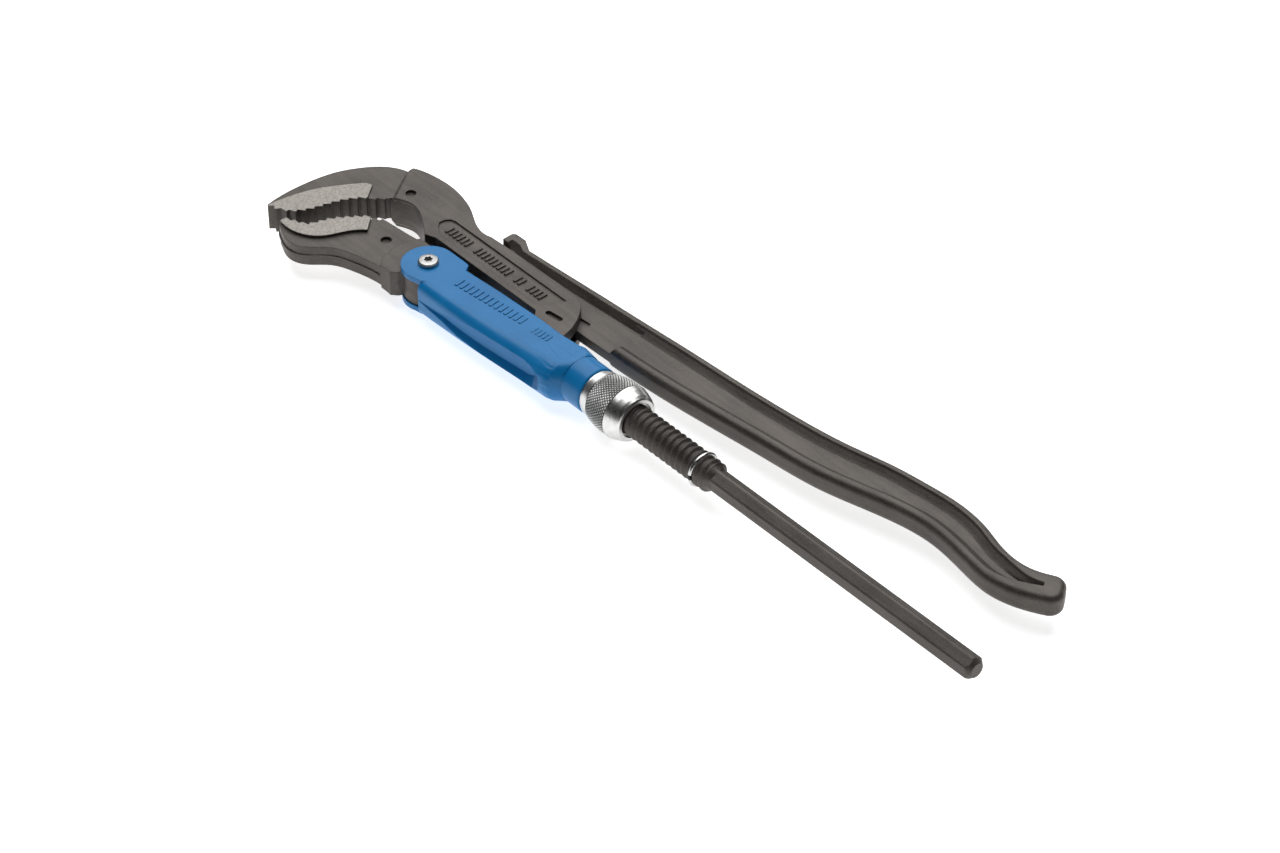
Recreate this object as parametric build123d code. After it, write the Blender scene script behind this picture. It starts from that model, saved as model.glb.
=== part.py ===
"""Swedish-pattern pipe wrench with S-shaped jaws, 1 1/2 inch size.

Millimetres.  Origin: pivot axis, on the plane the wrench lies on.  +X runs along the
threaded leg towards the handle ends, +Y towards the main leg's handle, +Z up.
Everything is modelled about the mid-plane and lifted by REST on export.
"""
from build123d import *
import math
import os

os.makedirs("parts", exist_ok=True)

# ---- overall ------------------------------------------------------------------------
REST = 13.2            # height of the mid-plane above the plane the wrench lies on
ROD_Y = 5.0            # the threaded leg's axis lies this far beside the pivot
RUN = 0.05             # radial running clearance
FIT = 0.02             # radial clearance between pieces that do not turn in each other

# ---- jaws and fork -------------------------------------------------------------------
JAW_HALF = 5.6         # half thickness of the upper jaw behind its tooth land
LOWER_HALF = 5.0       # half thickness of the lower jaw behind its tooth land
LAND_HALF = 6.5        # half thickness at the tooth lands and the pivot boss
HEAD_HALF = 7.9        # half thickness of the head and the fork
SLOT_HALF = 2.75       # half the gap between the fork's two plates
WEB_HALF = 2.4         # half thickness of the main leg's web, which runs in that gap
TOOTH_DEPTH = 1.5
FORK_EDGE = 15.0       # the fork's edge that faces the sleeve
FORK_FAR = 34.4        # the fork's edge that faces the main leg's handle
FORK_SLOT_END = 59.0   # the gap's closed end
FORK_BLOCK_TOP = 16.0  # solid between the plates below this line

# ---- rod, thread and nut -------------------------------------------------------------
PITCH = 3.6
THREAD_R = 6.75        # mean radius of the round thread
THREAD_AMP = 0.6
THREAD_X0, THREAD_TURNS = 97.0, 24
NUT_THREAD_GAP = 0.42
THREAD_CLEAR = 7.7     # radius the sleeve keeps free around the thread
SHANK_R = 6.2
STOP_X = 176.5         # the stop ring on the thread
HEX_R = 5.45           # handle bar, across corners / 2
ROD_END = 336.7
NUT_X0, NUT_X1 = 109.8, 134.6
HUB_R, HUB_X0 = 9.5, 99.2
RING_X, RING_WIRE = 104.0, 0.7

# ---- sleeve --------------------------------------------------------------------------
SHEET = 2.6
EAR_HALF = 9.2         # half the distance over the two ears
EAR_R = 12.4
NECK_R = 11.0
NECK_X0, NECK_END = 97.5, 109.0

# ---- pivot ---------------------------------------------------------------------------
BARREL_R = 3.9
BORE_R = 2.5
HEAD_R = 4.65

# ---- main leg's handle ----------------------------------------------------------------
RIM_HALF = 5.5
EDGE_ROUND = 3.0
BOSS_R = 11.8


def loop(*points):
    """Face bounded by straight lines."""
    return make_face(Polyline(*points, close=True))


def slab(face, z0, z1):
    """Solid from z0 to z1 over a plan face."""
    return extrude(Pos(0, 0, z0) * face, z1 - z0)


def plate(face, half):
    """Solid from -half to +half over a plan face."""
    return slab(face, -half, half)


def both_sides(solid):
    """The solid and its mirror image in the mid-plane."""
    return solid + mirror(solid, about=Plane.XY)


def disc(x, y, radius):
    return Pos(x, y, 0) * Circle(radius)


def turned(profile, y=ROD_Y):
    """Solid of revolution about the rod axis from (x, radius) points."""
    face = Plane.XY * make_face(Polyline(*profile, close=True))
    return Pos(0, y, 0) * revolve(face, Axis.X)


def toothed(guide, count, lean, depth):
    """Points of a saw-tooth edge that follows a curve; teeth point to the curve's right."""
    points = []
    for i in range(count):
        for share, height in ((i / count, -0.5), ((i + lean) / count, 0.5)):
            tangent = guide % share
            normal = Vector(tangent.Y, -tangent.X, 0)
            points.append(guide @ share + normal * (height * depth))
    points.append(guide @ 1)
    return [(p.X, p.Y) for p in points]


def bar_sides(stations):
    """Points on the two sides of a bar that follows a row of (x, y, half width) stations."""
    line = Spline(*[(x, y) for x, y, _ in stations])
    left, right = [], []
    for x, y, half in stations:
        tangent = line % line.param_at_point((x, y))
        normal = Vector(-tangent.Y, tangent.X, 0)
        left.append(Vector(x, y) + normal * half)
        right.append(Vector(x, y) - normal * half)
    return left, right


def ribbon(stations):
    """Plan face of a bar that follows a row of (x, y, half width) stations."""
    left, right = bar_sides(stations)
    far, near = Spline(*left), Spline(*right)
    ends = [Line(far @ 0, near @ 0), Line(far @ 1, near @ 1)]
    return make_face([far.edge(), near.edge(), ends[0].edge(), ends[1].edge()])


def narrowed(stations, inset):
    """The same stations with the half widths reduced by inset, down to a thin line."""
    return [(x, y, max(half - inset, 0.3)) for x, y, half in stations]


def thread_body(x0, turns, gap=0.0):
    """Solid bounded by a right-hand round thread about the rod axis."""
    steps_x, steps_a = turns * 8, 16
    length = turns * PITCH
    rows = []
    for i in range(steps_a + 1):
        angle = 2 * math.pi * i / steps_a
        row = []
        for j in range(steps_x + 1):
            x = x0 + length * j / steps_x
            radius = THREAD_R + gap + THREAD_AMP * math.cos(2 * math.pi * x / PITCH - angle)
            row.append(Vector(x, ROD_Y + radius * math.cos(angle), radius * math.sin(angle)))
        rows.append(row)
    skin = Face.make_surface_from_array_of_points(rows, tol=0.01, min_deg=3, max_deg=5)
    rims = [e for e in skin.edges() if abs((e @ 0).X - (e @ 0.5).X) < 0.1]
    return Solid(Shell([skin] + [Face(Wire([e])) for e in rims]))


def loft_between(low, z_low, high, z_high):
    return loft([Pos(0, 0, z_low) * low, Pos(0, 0, z_high) * high], ruled=True)


# ---- upper jaw, fork and threaded rod --------------------------------------------------
UPPER_GUIDE = [(-78.3, -23.6), (-71.9, -17.8), (-68.3, -8.4), (-65.1, 2.6), (-59.8, 11.0), (-54.0, 18.2)]
UPPER_TIP = [(-85.9, -25.0), (-84.2, -26.3), (-82.4, -24.2), (-80.1, -25.4)]
UPPER_BACK = [(-87.2, -18.0), (-87.8, -5.5), (-87.0, 5.5), (-84.8, 15.2), (-80.9, 23.7), (-76.2, 30.7),
              (-70.2, 36.0), (-62.0, 39.0)]
HEAD_TOP = [(-63.9, 37.2), (-62.6, 39.5), (-58.5, 41.8), (-51.0, 43.6), (-40.1, 44.5), (-29.0, 43.1),
            (-19.2, 39.9), (-11.0, 35.6), (-4.6, 33.4), (2.5, 34.0)]
THROAT = [(-51.3, 18.6), (-46.3, 21.2), (-40.0, 22.9), (-32.6, 21.1), (-25.0, 16.8), (-19.1, 12.9)]


def upper_teeth():
    return toothed(Spline(*UPPER_GUIDE), 12, 0.78, TOOTH_DEPTH)


def upper_jaw():
    teeth = upper_teeth()
    back = Spline(*[UPPER_TIP[0]] + UPPER_BACK)
    edge = Polyline(UPPER_TIP[0], *UPPER_TIP[1:], *teeth)
    close = Polyline(teeth[-1], (-46.0, 30.0), UPPER_BACK[-1])
    jaw = plate(make_face([back.edge()] + edge.edges() + close.edges()), JAW_HALF)
    land_back = Spline((-84.6, -24.9), (-83.6, -15.0), (-80.0, -1.5), (-74.5, 9.2), (-68.8, 18.0))
    land_edge = Polyline((-84.6, -24.9), *UPPER_TIP[1:], *teeth[:21], (-65.6, 19.4), (-68.8, 18.0))
    land = plate(make_face([land_back.edge()] + land_edge.edges()), LAND_HALF)
    return jaw + land


def head_and_fork():
    """Solid head; two plates behind it; a solid block that carries the rod."""
    top = Spline(*HEAD_TOP)
    throat = Spline(*THROAT)
    rest = Polyline(HEAD_TOP[-1], (12, FORK_FAR), (58.8, FORK_FAR + 0.5), (63.9, 33.7), (67.2, 31.6),
                    (70.4, 28.0), (73.3, 24.1), (76.1, 18.8), (77.6, 13.4), (77.8, 12.3), (58.6, 12.3),
                    (56.0, FORK_EDGE), (-13.5, FORK_EDGE), THROAT[-1])
    step = Polyline(THROAT[0], HEAD_TOP[0])
    outline = make_face([top.edge(), throat.edge()] + rest.edges() + step.edges())
    body = plate(outline, HEAD_HALF)
    ramp = loop((-75, 0), (-51.3, 15), (-51.3, 18.6), (-63.9, 37.2), (-64, 45), (-75, 45))
    slope = loft_between(ramp, JAW_HALF - 0.5, Pos(2.1, 1.3, 0) * ramp, HEAD_HALF + 0.1)
    body -= both_sides(slope)
    block = loop((FORK_SLOT_END, -1.2), (76, -1.2), (80, 0.5), (80, 9.5), (77.6, 13.0),
                                (FORK_SLOT_END, 13.0))
    body += plate(block, SHANK_R)
    slot = loop((-22, 0), (FORK_SLOT_END - 0.01, 0), (FORK_SLOT_END - 0.01, FORK_BLOCK_TOP - 2),
                (FORK_SLOT_END + 2, FORK_BLOCK_TOP), (95, FORK_BLOCK_TOP), (95, 60), (-10, 60), (-22, 44))
    return body - plate(slot, SLOT_HALF)


def fork_details(leg):
    """Recessed panels with plain raised bars, oblong pockets and round dimples."""
    panel = loop((-21.6, 23.2), (-21.4, 26.4), (-19.8, 28.6), (-17.3, 29.3), (60.0, 29.3), (54.0, 18.2),
                 (-14.0, 18.2), (-19.0, 20.6))
    leg -= both_sides(slab(panel, HEAD_HALF - 0.8, HEAD_HALF + 1))
    bars = Part()
    for start, count in ((-14.5, 6), (5.5, 9), (33.5, 2), (42.0, 4)):
        for i in range(count):
            bars += Pos(start + 2.7 * i, 23.7, HEAD_HALF - 0.6) * Box(1.3, 4.8, 1.0)
    leg += both_sides(bars)
    oblong = Pos(64.5, 18.4, 0) * Rot(0, 0, 6) * SlotOverall(9.4, 2.7)
    leg -= both_sides(slab(oblong, HEAD_HALF - 1.6, HEAD_HALF + 1))
    leg -= both_sides(slab(disc(-47.4, 27.4, 2.45), HEAD_HALF - 1.6, HEAD_HALF + 1))
    return leg


def threaded_rod():
    x1 = THREAD_X0 + THREAD_TURNS * PITCH
    rod = thread_body(THREAD_X0, THREAD_TURNS)
    front = turned([(76, 0), (76, 5.8), (80, SHANK_R), (THREAD_X0, SHANK_R), (THREAD_X0, 0)])
    cone = turned([(x1, 0), (x1, 6.3), (x1 + 2.5, 5.0), (x1 + 2.5, 0)])
    bar_face = Plane.YZ * fillet((Rot(0, 0, 90) * RegularPolygon(HEX_R, 6)).vertices(), 1.3)
    bar = Pos(x1 - 0.5, ROD_Y, 0) * extrude(bar_face, ROD_END - x1 + 0.5)
    tip = turned([(ROD_END - 2.6, 6.5), (ROD_END - 2.6, 5.6), (ROD_END, 3.4), (ROD_END + 1, 3.4),
                  (ROD_END + 1, 6.5)])
    groove = Pos(STOP_X, ROD_Y, 0) * Rot(0, 90, 0) * Torus(7.3, 0.93)
    return front + rod + cone + (bar - tip) - groove


def threaded_leg():
    leg = upper_jaw() + head_and_fork()
    leg = fork_details(leg)
    return leg + threaded_rod()


# ---- main leg: lower jaw, pivot boss, web and channelled handle -------------------------
LOWER_GUIDE = [(-72.0, -26.3), (-66.0, -23.4), (-61.0, -20.3), (-59.0, -14.2), (-56.0, -7.6), (-50.3, 0.4),
               (-46.0, 5.4), (-40.2, 8.4)]
LOWER_BACK = [(-72.6, -27.6), (-71.0, -29.6), (-67.7, -31.3), (-62.6, -33.4), (-57.5, -34.1), (-52.0, -32.5),
              (-48.2, -29.4), (-42.5, -23.2), (-38.5, -20.6), (-33.6, -18.7), (-26.0, -16.5), (-16.0, -14.9),
              (-9.0, -15.1)]
FLASH_SIDE = [(-75, -28.5), (-60, -26), (-44, -16), (-24, -8), (-17, -12), (-17, -40), (-75, -40)]
HANDLE = [(90, 36.2, 12.4), (118, 37.7, 12.8), (149, 40.0, 12.2), (184, 43.4, 11.6), (212, 47.2, 11.9),
          (233, 52.2, 11.5), (250, 55.4, 10.6), (267, 56.9, 10.2), (281, 55.4, 9.8), (294, 52.4, 9.0),
          (304, 51.2, 8.8), (314, 52.6, 8.3), (323, 56.4, 8.0), (330.6, 61.2, 7.9)]
FAR_RIM = [(16.0, 43.8), (26, 44.4), (45, 45.7), (64, 47.0)]
RIM_ROOT = [(12.0, 45.9), (5.6, 45.8), (4.2, 44.6), (4.4, 39.0), (12, 38.9), (12, 30)]


def lower_jaw():
    teeth = toothed(Spline(*LOWER_GUIDE), 12, 0.24, -TOOTH_DEPTH)
    back = Spline(*LOWER_BACK)
    edge = Polyline(LOWER_BACK[0], *teeth, (-34, 8.9), (-27, 9.5), (-20, 10.4), (-9.5, 10.6), (0, 0),
                    (-6.4, -12.8), LOWER_BACK[-1])
    outline = make_face([back.edge()] + edge.edges())
    jaw = plate(outline, LOWER_HALF)
    jaw += plate((Pos(-0.25, -0.55, 0) * outline) & loop(*FLASH_SIDE), 0.6)
    raised = outline & disc(0, 0, 21.8)
    boss = plate(raised, LAND_HALF) + plate(disc(0, 0, BOSS_R), LAND_HALF)
    land_back = Spline((-71.4, -28.6), (-63.6, -29.2), (-56.0, -26.8), (-50.0, -21.4), (-46.2, -13.0),
                       (-40.0, -3.4))
    land_edge = Polyline((-71.4, -28.6), *teeth[:21], (-40.0, -3.4))
    land = plate(make_face([land_back.edge()] + land_edge.edges()), LAND_HALF)
    return jaw + boss + land


def web():
    outline = loop((-20, 8), (-19, 11), (-14.5, 15), (-11, 24), (-7, 32.5), (-2.6, 36.4), (4.4, 38.9),
                   (30, 42), (110, 46), (110, 25.5), (92, 23.8), (60, 23.1), (24, 22.6), (18, 21.4), (14.2, 18.6),
                   (13.2, 14), (13.4, 8), (14, 0), (0, 0))
    return plate(outline, WEB_HALF)


def handle():
    """Bar with rounded edges that runs from beside the fork to the handle's end."""
    left, right = bar_sides(HANDLE)
    far, near = Spline(*FAR_RIM, *left), Spline(*right)
    end = Line(far @ 1, near @ 1)
    root = Polyline(FAR_RIM[0], *RIM_ROOT, (right[0].X, 30), right[0])
    bar = plate(make_face([far.edge(), near.edge(), end.edge()] + root.edges()), RIM_HALF)
    end_posts = bar.edges().filter_by(Axis.Z).sort_by(Axis.X)[-2:]
    bar = fillet(end_posts, 6.0)
    rims = [e for e in bar.edges() if abs(abs(e.center().Z) - RIM_HALF) < 0.01 and e.center().X > 91]
    return fillet(rims, EDGE_ROUND)


def channels():
    """Cutters for the channels in both faces; beside the fork they leave only the far rim."""
    top, bottom = RIM_HALF + 0.3, WEB_HALF
    far_top = [(7.2, 10), (7.2, 42.4), (12.6, 42.4), (17.0, 40.3), (64, 43.4), (97, 45.4), (97, 10)]
    far_low = [(9.5, 10), (9.5, 39.2), (12.6, 39.2), (18.0, 37.2), (64, 40.2), (95, 42.4), (95, 10)]
    beside_fork = loft_between(loop(*far_low), bottom, loop(*far_top), top)
    stations = HANDLE[:-3] + [(314, 52.6, 6.6), (323, 56.4, 4.9)]
    levels = [(bottom, 7.6), (bottom + 0.7, 6.5), (4.6, 4.5), (top, 3.5)]
    along_bar = loft([Pos(0, 0, z) * ribbon(narrowed(stations, inset)) for z, inset in levels], ruled=True)
    return both_sides(beside_fork + along_bar)


def main_leg():
    leg = web() + (handle() - channels()) + lower_jaw()
    leg -= plate(disc(0, 0, BARREL_R + RUN), 20)
    oblong = Pos(69.9, 29.4, 0) * Rot(0, 0, 6) * SlotOverall(9.4, 2.7)
    leg -= both_sides(slab(oblong, WEB_HALF - 0.9, 20))
    leg -= both_sides(slab(disc(-30.0, -0.6, 2.5), LOWER_HALF - 1.6, 20))
    return leg


# ---- sleeve ----------------------------------------------------------------------------
SLEEVE_STATIONS = [(0, 18.0, EAR_HALF, 4.4), (16, 18.1, EAR_HALF, 4.6), (36, 17.8, EAR_HALF, 5.3),
                   (50, 17.5, EAR_HALF, 6.0), (63, 17.1, 9.3, 7.1), (75, 16.7, 9.5, 8.2),
                   (84, 16.4, 9.9, 8.9), (91, 16.0, 10.2, 9.3), (93.5, 15.2, 10.3, 9.5),
                   (95.5, 13.0, 10.6, 9.9), (NECK_X0, NECK_R, NECK_R, NECK_R - 0.5)]
SLEEVE_BARS = [(20.5 + 3.0 * i, 1.2 + 0.3 * i, 1.4, 5.2) for i in range(14)]
SLEEVE_BARS += [(68.0 + 2.2 * i, 4.6 + 0.15 * i, 1.0, 4.0) for i in range(5)]


def rounded_section(x, back, half_z, corner, inset):
    """Rounded rectangle across the rod axis, the same distance either side of the axis."""
    face = RectangleRounded(2 * (back - inset), 2 * (half_z - inset), corner - inset)
    return Plane(origin=(x, ROD_Y, 0), x_dir=(0, 1, 0), z_dir=(1, 0, 0)) * face


def sleeve_form(inset):
    """Closed tube from square-shouldered at the ears to full-bellied, then drawn in to the neck."""
    sections = [rounded_section(x, back, half, corner, inset) for x, back, half, corner in SLEEVE_STATIONS]
    return loft(sections, ruled=True)


def side_groove(inset):
    """Pocket with sloping walls pressed into the closed side."""
    floor = Plane(origin=(9.0, -12.9 + inset, 0), x_dir=(78, 7, 0), z_dir=(7, -78, 0))
    widths = [(-inset, 0.2), (16, 0.9), (26, 2.5), (40, 3.5), (68, 3.5), (72, 2.4), (74 + inset, 0.8)]
    points = [(x, width + 0.4 * inset) for x, width in widths]
    outline = loop(*points, *[(x, -z) for x, z in reversed(points)])
    return extrude(floor * outline, 16, taper=-45)


def sleeve():
    opening = loop((-30, 12.3), (10.3, 12.45), (12.6, 12.3), (13.4, 11.9), (15.4, 8.9), (37, 10.4),
                   (63, 11.4), (80, 11.0), (90, 11.6), (91.5, 17.3), (96.5, 17.0), (96.5, 40), (-30, 40))
    mouth = loop((-30, -30), (9.6, -30), (8.2, -11), (0, -11), (-30, -11))
    ear = loop((0, -EAR_R), (8.2, -11.0), (9.5, -9), (9.5, EAR_R), (0, EAR_R))
    body = sleeve_form(0) - plate(opening, 20) - plate(mouth, 20)
    neck_r = NECK_R - 0.05
    body += turned([(96, 0), (96, 9), (97, neck_r), (108.4, neck_r), (NECK_END, NECK_R - 0.6), (NECK_END, 0)])
    body -= side_groove(0)
    beside_leg = plate(loop((86, 11), (98, 11), (98, 40), (86, 40)), 20)
    body -= beside_leg & turned([(86, 12.7), (98, 11.2), (98, 40), (86, 40)])
    body += plate(disc(0, 0, EAR_R), EAR_HALF) + plate(ear, EAR_HALF)
    body -= sleeve_form(SHEET) - side_groove(SHEET) - plate(loop((90.5, 9), (98, 9), (98, 40), (90.5, 40)), 20)
    body -= plate(disc(0, 0, 15.0), EAR_HALF - SHEET)
    body -= turned([(45, 0), (45, THREAD_CLEAR), (96, THREAD_CLEAR), (96, 0)])
    body -= turned([(95, 0), (95, NECK_R - SHEET), (98.8, NECK_R - SHEET), (98.8, HUB_R + RUN),
                    (110, HUB_R + RUN), (110, 0)])
    body -= Pos(RING_X, ROD_Y, 0) * Rot(0, 90, 0) * Torus(HUB_R, RING_WIRE + FIT)
    for x, y, width, length in SLEEVE_BARS:
        top = EAR_HALF + 0.35 + max(0, x - 67) * 0.03
        bar = Pos(x, y, top - 1) * Rot(0, 0, 6) * Box(width, length, 2)
        body += both_sides(bar)
    return body - plate(disc(0, 0, BARREL_R + FIT), 20)


# ---- nut and its small parts --------------------------------------------------------------
# (x, radius) along the outside; the knurled band from 113.6 to 126.8 lies 0.4 below its crests
NUT_OUTSIDE = [(NUT_X0, 10.3), (110.3, 10.8), (113.2, 11.2), (113.6, 10.9), (116.4, 11.7), (119.6, 12.25),
               (123.2, 12.45), (126.8, 12.45), (127.2, 12.85), (129.6, 12.3), (132.6, 11.3), (134.1, 10.5),
               (NUT_X1, 9.9)]


def adjusting_nut():
    body = turned([(HUB_X0, 7.9), (HUB_X0, HUB_R - 0.5), (HUB_X0 + 0.5, HUB_R), (NUT_X0, HUB_R)]
                  + NUT_OUTSIDE
                  + [(NUT_X1, 8.4), (NUT_X1 - 2.6, 8.2), (NUT_X1 - 2.6, 6.0), (HUB_X0 + 3, 6.0),
                     (HUB_X0 + 3, 7.9)])
    body -= thread_body(97.0 + PITCH, 9, NUT_THREAD_GAP)
    return body - Pos(RING_X, ROD_Y, 0) * Rot(0, 90, 0) * Torus(HUB_R, RING_WIRE + RUN)


def split_ring(x, radius, wire, gap_degrees):
    ring = Rot(0, 90, 0) * Torus(radius, wire)
    half_gap = radius * math.sin(math.radians(gap_degrees / 2))
    return Pos(x, ROD_Y, 0) * (ring - Pos(0, -radius, 0) * Box(4 * wire, 4 * wire + 4, 2 * half_gap))


def thrust_washer():
    return turned([(NECK_END + 0.05, HUB_R + RUN), (NECK_END + 0.05, 10.2), (NUT_X0 - 0.05, 10.2),
                   (NUT_X0 - 0.05, HUB_R + RUN)])


# ---- pivot ---------------------------------------------------------------------------------
def pivot_barrel():
    flange = Pos(0, 0, -REST) * Cylinder(5.6, REST - EAR_HALF, align=(Align.CENTER, Align.CENTER, Align.MIN))
    flange = chamfer(flange.edges().sort_by(Axis.Z)[0], 0.5)
    shank = slab(disc(0, 0, BARREL_R), -EAR_HALF - 0.1, EAR_HALF - 0.4)
    return flange + shank - slab(disc(0, 0, BORE_R + FIT), -6.0, 20)


def pivot_screw():
    profile = [(0, EAR_HALF), (HEAD_R, EAR_HALF), (HEAD_R, EAR_HALF + 1.2), (4.1, EAR_HALF + 1.7),
               (2.9, EAR_HALF + 2.0), (0, EAR_HALF + 2.0)]
    head = revolve(Plane.XZ * make_face(Polyline(*profile, close=True)), Axis.Z)
    shank = slab(disc(0, 0, BORE_R), -5.0, EAR_HALF + 0.1)
    socket = Circle(1.55)
    for i in range(6):
        socket += Rot(0, 0, 60 * i) * Pos(1.5, 0) * Circle(0.55)
    return head + shank - slab(socket, EAR_HALF + 0.5, 20)


PIECES = {
    "main_leg": main_leg,
    "threaded_leg": threaded_leg,
    "sleeve": sleeve,
    "adjusting_nut": adjusting_nut,
    "nut_retaining_ring": lambda: split_ring(RING_X, HUB_R, RING_WIRE, 14),
    "thrust_washer": thrust_washer,
    "stop_ring": lambda: split_ring(STOP_X, 7.3, 0.9, 20),
    "pivot_barrel": pivot_barrel,
    "pivot_screw": pivot_screw,
}

for name, build in PIECES.items():
    export_step(Pos(0, 0, REST) * build(), "parts/" + name + ".step")
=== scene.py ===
"""Looks, light and camera for the pipe wrench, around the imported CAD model.

Metres, in the CAD frame: pivot axis at the origin, +X along the threaded leg to the handle ends,
+Z up, the wrench lying on z = 0 with its mid-plane at z = MID.
"""

import math

import bpy
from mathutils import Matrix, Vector


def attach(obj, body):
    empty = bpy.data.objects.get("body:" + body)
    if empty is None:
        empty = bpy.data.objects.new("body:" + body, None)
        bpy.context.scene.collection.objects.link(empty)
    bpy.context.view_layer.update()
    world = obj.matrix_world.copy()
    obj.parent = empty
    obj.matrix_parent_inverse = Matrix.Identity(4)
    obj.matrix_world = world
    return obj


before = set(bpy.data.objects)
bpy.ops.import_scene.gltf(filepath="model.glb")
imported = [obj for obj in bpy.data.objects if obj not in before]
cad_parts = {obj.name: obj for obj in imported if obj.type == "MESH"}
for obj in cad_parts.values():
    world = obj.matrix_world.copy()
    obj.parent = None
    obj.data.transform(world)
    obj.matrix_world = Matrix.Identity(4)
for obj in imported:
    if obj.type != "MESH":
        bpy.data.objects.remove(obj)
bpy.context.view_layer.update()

# ---- driving dimensions -----------------------------------------------------------------
MM = 0.001
MID = 13.2 * MM            # height of the mid-plane
ROD_Y = 5.0 * MM           # the threaded leg's axis
# the knurled band's crests on the nut: x and radius, in mm
KNURL_CRESTS = [(113.6, 11.3), (116.4, 12.1), (119.6, 12.65), (123.2, 12.85), (126.8, 12.85)]
KNURL_DEPTH = 0.42 * MM
KNURL_STARTS = 52          # diamonds round the nut
LAND_HALF = 6.5 * MM       # half thickness at the ground tooth lands
LAND_END_X = -40 * MM      # the lands lie in front of this
STEEL_METALLIC = 0.45      # a phosphate coat is only partly metallic

# ---- light and camera -------------------------------------------------------------------------------
LOOK_AT = Vector((138.4 * MM, 3.5 * MM, MID))
CAMERA_DISTANCE = 1.5
CAMERA_AZIMUTH, CAMERA_ELEVATION = 48.87, 40.0
LENS = 99.84
FLOOR_GLOW = 0.8           # a lit table: keeps the ground white and its shadows faint
TOP_WATTS, BACK_WATTS = 22, 8


# ---- node helpers -------------------------------------------------------------------------
class Shader:
    """Builds one node material; calls return output sockets."""

    def __init__(self, name, **sockets):
        self.material = bpy.data.materials.new(name)
        self.material.use_nodes = True
        self.tree = self.material.node_tree
        self.bsdf = self.tree.nodes["Principled BSDF"]
        for key, value in sockets.items():
            self.bsdf.inputs[key.replace("_", " ")].default_value = value
        self.coords = self.add("ShaderNodeTexCoord").outputs["Object"]

    def add(self, kind, **settings):
        made = self.tree.nodes.new(kind)
        for key, value in settings.items():
            setattr(made, key, value)
        return made

    def put(self, socket, value):
        if isinstance(value, bpy.types.NodeSocket):
            self.tree.links.new(value, socket)
        else:
            socket.default_value = value

    def math(self, operation, a, b=0.0, clamp=False):
        made = self.add("ShaderNodeMath", operation=operation, use_clamp=clamp)
        self.put(made.inputs[0], a)
        self.put(made.inputs[1], b)
        return made.outputs[0]

    def noise(self, scale, detail=3.0, roughness=0.55, coords=None, distortion=0.0):
        made = self.add("ShaderNodeTexNoise")
        self.put(made.inputs["Vector"], coords or self.coords)
        made.inputs["Scale"].default_value = scale
        made.inputs["Detail"].default_value = detail
        made.inputs["Roughness"].default_value = roughness
        made.inputs["Distortion"].default_value = distortion
        return made.outputs["Fac"]

    def remap(self, value, low, high, to_low=0.0, to_high=1.0):
        made = self.add("ShaderNodeMapRange", clamp=True)
        self.put(made.inputs["Value"], value)
        limits = {"From Min": low, "From Max": high, "To Min": to_low, "To Max": to_high}
        for key, number in limits.items():
            made.inputs[key].default_value = number
        return made.outputs["Result"]

    def mix(self, factor, a, b):
        made = self.add("ShaderNodeMix", data_type="RGBA")
        self.put(made.inputs[0], factor)
        self.put(made.inputs[6], a if isinstance(a, bpy.types.NodeSocket) else (*a, 1))
        self.put(made.inputs[7], b if isinstance(b, bpy.types.NodeSocket) else (*b, 1))
        return made.outputs[2]

    def axes(self):
        made = self.add("ShaderNodeSeparateXYZ")
        self.put(made.inputs[0], self.coords)
        return made.outputs[0], made.outputs[1], made.outputs[2]

    def stretched(self, x, y, z):
        made = self.add("ShaderNodeMapping")
        self.put(made.inputs["Vector"], self.coords)
        made.inputs["Scale"].default_value = (x, y, z)
        return made.outputs[0]

    def bevel(self, radius):
        made = self.add("ShaderNodeBevel", samples=4)
        made.inputs["Radius"].default_value = radius
        return made.outputs["Normal"]

    def edge_mask(self, radius, low=0.02, high=0.25):
        """1 along edges, 0 on flats: how far the rounded normal leans from the true one."""
        rounded = self.bevel(radius)
        true_normal = self.add("ShaderNodeNewGeometry").outputs["True Normal"]
        dot = self.add("ShaderNodeVectorMath", operation="DOT_PRODUCT")
        self.put(dot.inputs[0], rounded)
        self.put(dot.inputs[1], true_normal)
        lean = self.math("SUBTRACT", 1.0, dot.outputs["Value"])
        return self.remap(lean, low, high)

    def bump(self, height, distance, strength=1.0, normal=None):
        made = self.add("ShaderNodeBump")
        made.inputs["Strength"].default_value = strength
        made.inputs["Distance"].default_value = distance
        self.put(made.inputs["Height"], height)
        if normal is not None:
            self.put(made.inputs["Normal"], normal)
        return made.outputs["Normal"]

    def finish(self, color=None, roughness=None, metallic=None, normal=None):
        for key, value in (("Base Color", color), ("Roughness", roughness), ("Metallic", metallic),
                           ("Normal", normal)):
            if value is not None:
                self.put(self.bsdf.inputs[key], value)
        return self.material


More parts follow.
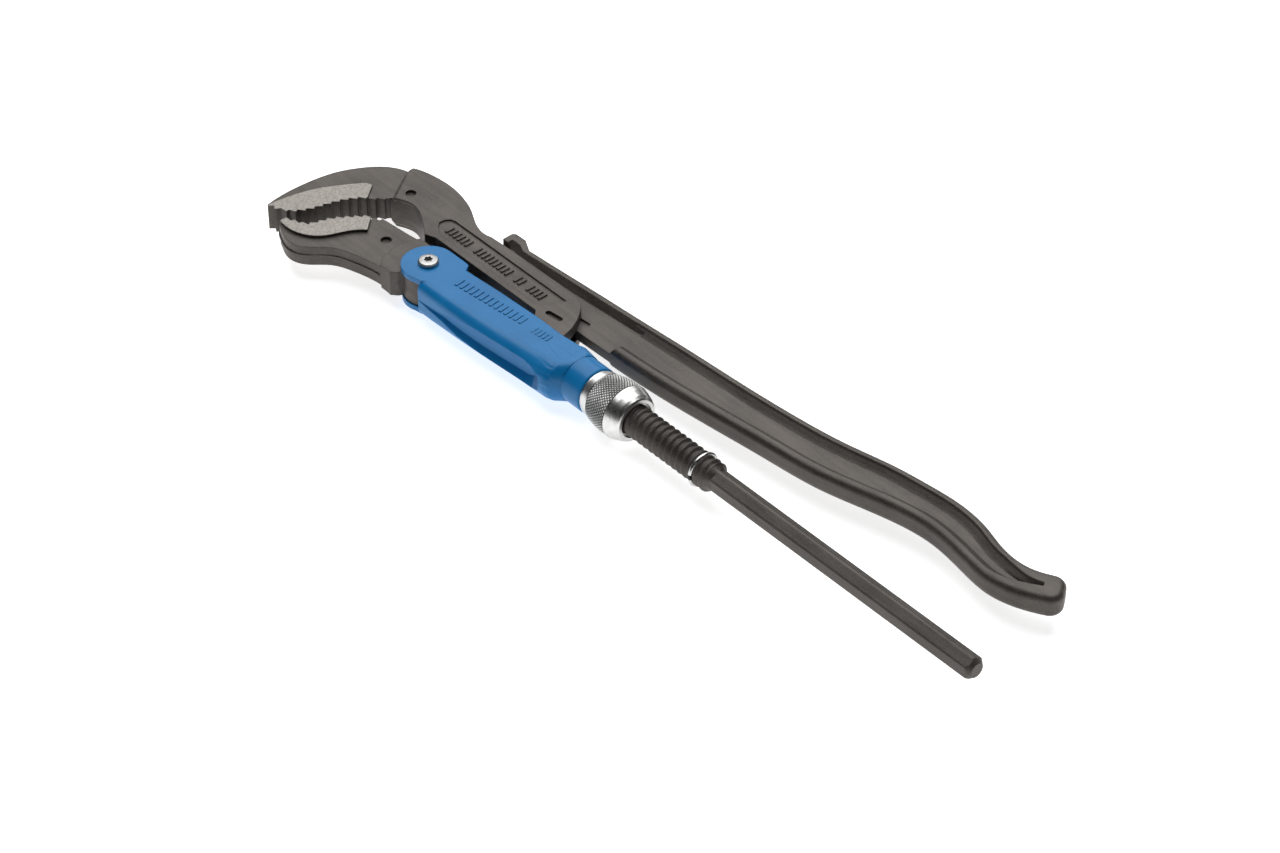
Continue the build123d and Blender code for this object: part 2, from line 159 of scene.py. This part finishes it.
# ---- materials ----------------------------------------------------------------------------
def forged_steel(name):
    """Blasted and phosphated forging with drawn-out flow streaks; the tooth lands are ground brighter."""
    s = Shader(name)
    x, _, z = s.axes()
    cloud = s.noise(45, 4)
    grain = s.noise(1500, 3, 0.7)
    specks = s.noise(3200, 2, 0.6)
    streaks = s.noise(330, 4, 0.6, coords=s.stretched(0.09, 1.0, 1.0), distortion=0.3)
    dark, light = (0.050, 0.043, 0.038), (0.120, 0.105, 0.092)
    tone = s.math("ADD", s.math("MULTIPLY", cloud, 0.45), s.math("MULTIPLY", grain, 0.75))
    tone = s.math("ADD", tone, s.remap(streaks, 0.3, 0.7, -0.09, 0.09))
    base = s.mix(s.remap(tone, 0.38, 0.82), dark, light)
    edges = s.edge_mask(0.45 * MM, 0.04, 0.45)
    worn = s.math("MULTIPLY", edges, s.remap(s.noise(260, 3), 0.38, 0.62, 0.15, 0.8))
    base = s.mix(worn, base, (0.22, 0.2, 0.18))
    away = s.math("ABSOLUTE", s.math("SUBTRACT", z, MID))
    on_land = s.math("MULTIPLY", s.math("GREATER_THAN", away, LAND_HALF - 0.1 * MM),
                     s.math("LESS_THAN", away, LAND_HALF + 0.1 * MM))
    on_land = s.math("MULTIPLY", on_land, s.math("LESS_THAN", x, LAND_END_X))
    ground = s.noise(1500, 3, 0.75, coords=s.stretched(1.0, 0.6, 1.0))
    bright = s.mix(s.remap(ground, 0.34, 0.66), (0.2, 0.182, 0.162), (0.40, 0.375, 0.34))
    base = s.mix(on_land, base, bright)
    roughness = s.remap(grain, 0.3, 0.7, 0.4, 0.56)
    height = s.math("ADD", s.math("MULTIPLY", grain, 0.8), s.math("MULTIPLY", specks, 0.45))
    height = s.math("ADD", height, s.math("MULTIPLY", streaks, 0.9))
    normal = s.bump(height, 0.13 * MM, 0.6, s.bevel(0.7 * MM))
    return s.finish(base, roughness, STEEL_METALLIC, normal)


def blue_enamel():
    """Gloss enamel over a forging; creases where the metal was drawn in to the neck."""
    s = Shader("blue_enamel", Coat_Weight=0.12, Coat_Roughness=0.2, Specular_IOR_Level=0.22)
    cloud = s.noise(38, 3)
    base = s.mix(s.remap(cloud, 0.35, 0.65), (0.004, 0.165, 0.43), (0.008, 0.195, 0.49))
    # painted highlight: the enamel's rounded edges are painted a paler blue
    edges = s.edge_mask(0.5 * MM, 0.05, 0.5)
    base = s.mix(s.math("MULTIPLY", edges, 0.35), base, (0.05, 0.29, 0.6))
    x, _, _ = s.axes()
    shoulder = s.math("MULTIPLY", s.remap(x, 80 * MM, 86 * MM), s.remap(x, 92 * MM, 99 * MM, 1.0, 0.0))
    creases = s.noise(210, 2, 0.5, coords=s.stretched(0.35, 1.0, 1.6), distortion=1.2)
    peel = s.noise(520, 2, 0.5)
    height = s.math("ADD", s.math("MULTIPLY", creases, shoulder),
                    s.math("MULTIPLY", peel, 0.05))
    normal = s.bump(height, 0.9 * MM, 0.6, s.bevel(0.6 * MM))
    s.put(s.bsdf.inputs["Coat Normal"], normal)
    return s.finish(base, s.remap(cloud, 0.3, 0.7, 0.30, 0.38), None, normal)


def zinc(name, light=0.7, rough=0.26, knurled=False):
    """Zinc plate; on a knurled piece, painted shade darkens the grooves."""
    s = Shader(name, Metallic=1.0)
    stain = s.noise(420, 4, 0.6)
    fine = s.noise(900, 3, 0.6)
    shade = (light, light, light * 0.985)
    base = s.mix(s.remap(stain, 0.35, 0.7), shade, tuple(0.88 * v for v in shade))
    if knurled:
        # painted shade: the knurl's grooves are darkened by their depth
        painted_groove_shade = s.add("ShaderNodeVertexColor", layer_name="painted_groove_shade").outputs["Color"]
        base = s.mix(painted_groove_shade, base, (0.05, 0.049, 0.047))
    roughness = s.remap(fine, 0.3, 0.7, rough, rough + 0.14)
    normal = s.bump(fine, 0.03 * MM, 0.5, s.bevel(0.25 * MM))
    return s.finish(base, roughness, None, normal)


def floor_material():
    s = Shader("floor_white", Roughness=0.55, Specular_IOR_Level=0.2)
    s.bsdf.inputs["Emission Color"].default_value = (1, 1, 1, 1)
    s.bsdf.inputs["Emission Strength"].default_value = FLOOR_GLOW
    grain = s.noise(120, 2)
    base = s.mix(s.remap(grain, 0.3, 0.7), (0.80, 0.80, 0.80), (0.82, 0.82, 0.82))
    return s.finish(base)


# ---- extra piece: the nut's knurled band ----------------------------------------------------
def crest_radius(x):
    """Radius of the knurled band's crests at x."""
    for (x0, r0), (x1, r1) in zip(KNURL_CRESTS, KNURL_CRESTS[1:]):
        if x <= x1 * MM + 1e-9:
            return (r0 + (r1 - r0) * (x / MM - x0) / (x1 - x0)) * MM
    return KNURL_CRESTS[-1][1] * MM


def knurl_band():
    """Closed ring that fills the nut's turned-down band; its outside is a field of small pyramids."""
    around, along = KNURL_STARTS * 8, 60
    x0, x1 = KNURL_CRESTS[0][0] * MM, KNURL_CRESTS[-1][0] * MM
    turns = 0.85 * KNURL_STARTS / (2 * math.pi * crest_radius(x1))
    vertices, depths, faces = [], [], []

    def ridge(t):
        return abs(2 * (t - math.floor(t)) - 1)

    for i in range(along + 1):
        x = x0 + (x1 - x0) * i / along
        fade = min(1.0, i / 2, (along - i) / 2)
        for j in range(around):
            angle = 2 * math.pi * j / around
            share = angle / (2 * math.pi) * KNURL_STARTS
            height = min(1.0, 1.35 * min(ridge(share + x * turns), ridge(share - x * turns))) * fade
            radius = crest_radius(x) - KNURL_DEPTH * (1 - height)
            vertices.append((x, ROD_Y + radius * math.cos(angle), MID + radius * math.sin(angle)))
            depths.append(1 - height)
    for x in (x1, x0):
        inner = crest_radius(x) - KNURL_DEPTH - 0.3 * MM
        for j in range(around):
            angle = 2 * math.pi * j / around
            vertices.append((x, ROD_Y + inner * math.cos(angle), MID + inner * math.sin(angle)))
            depths.append(1.0)
    rows = along + 3
    for i in range(rows):
        a, b = i * around, (i + 1) % rows * around
        for j in range(around):
            k = (j + 1) % around
            faces.append((a + j, a + k, b + k, b + j))
    mesh = bpy.data.meshes.new("nut_knurl")
    mesh.from_pydata(vertices, [], faces)
    # groove depth stored as a colour: painted shade that darkens the knurl's grooves
    painted_groove_shade = mesh.color_attributes.new("painted_groove_shade", "FLOAT_COLOR", "POINT")
    for i, depth in enumerate(depths):
        shade = min(1.0, max(0.0, 1.6 * depth - 0.35))
        painted_groove_shade.data[i].color = (shade, shade, shade, 1)
    band = bpy.data.objects.new("nut_knurl", mesh)
    bpy.context.scene.collection.objects.link(band)
    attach(band, "nut")
    return band


# ---- stage ----------------------------------------------------------------------------------
def make_floor():
    mesh = bpy.data.meshes.new("floor")
    half = 3.0
    corners = [(-half, -half, 0), (half, -half, 0), (half, half, 0), (-half, half, 0)]
    mesh.from_pydata(corners, [], [(0, 1, 2, 3)])
    floor = bpy.data.objects.new("floor", mesh)
    bpy.context.scene.collection.objects.link(floor)
    floor.location = (0.14, 0, -0.0002)
    floor.data.materials.append(floor_material())


def direction(azimuth, elevation):
    """Unit vector from the object towards a camera or light at these angles, in degrees."""
    a, e = math.radians(azimuth), math.radians(elevation)
    return Vector((math.sin(a) * math.cos(e), -math.cos(a) * math.cos(e), math.sin(e)))


def aim(thing, azimuth, elevation, distance):
    back = direction(azimuth, elevation)
    thing.location = LOOK_AT + back * distance
    thing.rotation_mode = "QUATERNION"
    thing.rotation_quaternion = (-back).to_track_quat("-Z", "Y")


def area_light(name, azimuth, elevation, distance, width, height, power):
    light = bpy.data.lights.new(name, "AREA")
    light.shape = "RECTANGLE"
    light.size, light.size_y = width, height
    light.energy = power
    thing = bpy.data.objects.new(name, light)
    bpy.context.scene.collection.objects.link(thing)
    aim(thing, azimuth, elevation, distance)


def make_camera():
    camera = bpy.data.objects.new("camera", bpy.data.cameras.new("camera"))
    bpy.context.scene.collection.objects.link(camera)
    camera.data.sensor_width = 36.0
    camera.data.lens = LENS
    camera.data.clip_start, camera.data.clip_end = 0.05, 20.0
    aim(camera, CAMERA_AZIMUTH, CAMERA_ELEVATION, CAMERA_DISTANCE)
    bpy.context.scene.camera = camera


def make_world():
    world = bpy.data.worlds.new("studio")
    world.use_nodes = True
    tree = world.node_tree
    way = tree.nodes.new("ShaderNodeTexCoord").outputs["Generated"]
    dot = tree.nodes.new("ShaderNodeVectorMath")
    dot.operation = "DOT_PRODUCT"
    dot.inputs[1].default_value = direction(CAMERA_AZIMUTH, 25)
    tree.links.new(way, dot.inputs[0])
    fade = tree.nodes.new("ShaderNodeMapRange")
    fade.interpolation_type = "SMOOTHSTEP"
    for key, value in (("From Min", -0.6), ("From Max", 0.75), ("To Min", 0.85), ("To Max", 0.03)):
        fade.inputs[key].default_value = value
    tree.links.new(dot.outputs["Value"], fade.inputs["Value"])
    tree.links.new(fade.outputs["Result"], tree.nodes["Background"].inputs["Strength"])
    bpy.context.scene.world = world


# ---- put it together --------------------------------------------------------------------------
def dress(node, material):
    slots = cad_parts[node].data.materials
    slots.clear()
    slots.append(material)


bright_zinc = zinc("zinc_bright")
dull_zinc = zinc("zinc_dull", 0.42, 0.34)
dress("main_leg", forged_steel("steel_main"))
dress("threaded_leg", forged_steel("steel_threaded"))
dress("sleeve", blue_enamel())
for node in ("adjusting_nut", "thrust_washer"):
    dress(node, bright_zinc)
for node in ("pivot_screw", "pivot_barrel"):
    dress(node, dull_zinc)
for node in ("stop_ring", "nut_retaining_ring"):
    dress(node, zinc("wire_" + node, 0.66, 0.2))
knurl_band().data.materials.append(zinc("zinc_knurled", 0.62, 0.3, knurled=True))

make_floor()
make_world()
make_camera()
area_light("softbox_top", CAMERA_AZIMUTH + 180, 68, 1.4, 1.8, 1.3, TOP_WATTS)
area_light("softbox_back", CAMERA_AZIMUTH + 180, 30, 1.9, 1.8, 0.7, BACK_WATTS)
bpy.context.scene.view_settings.view_transform = "Standard"
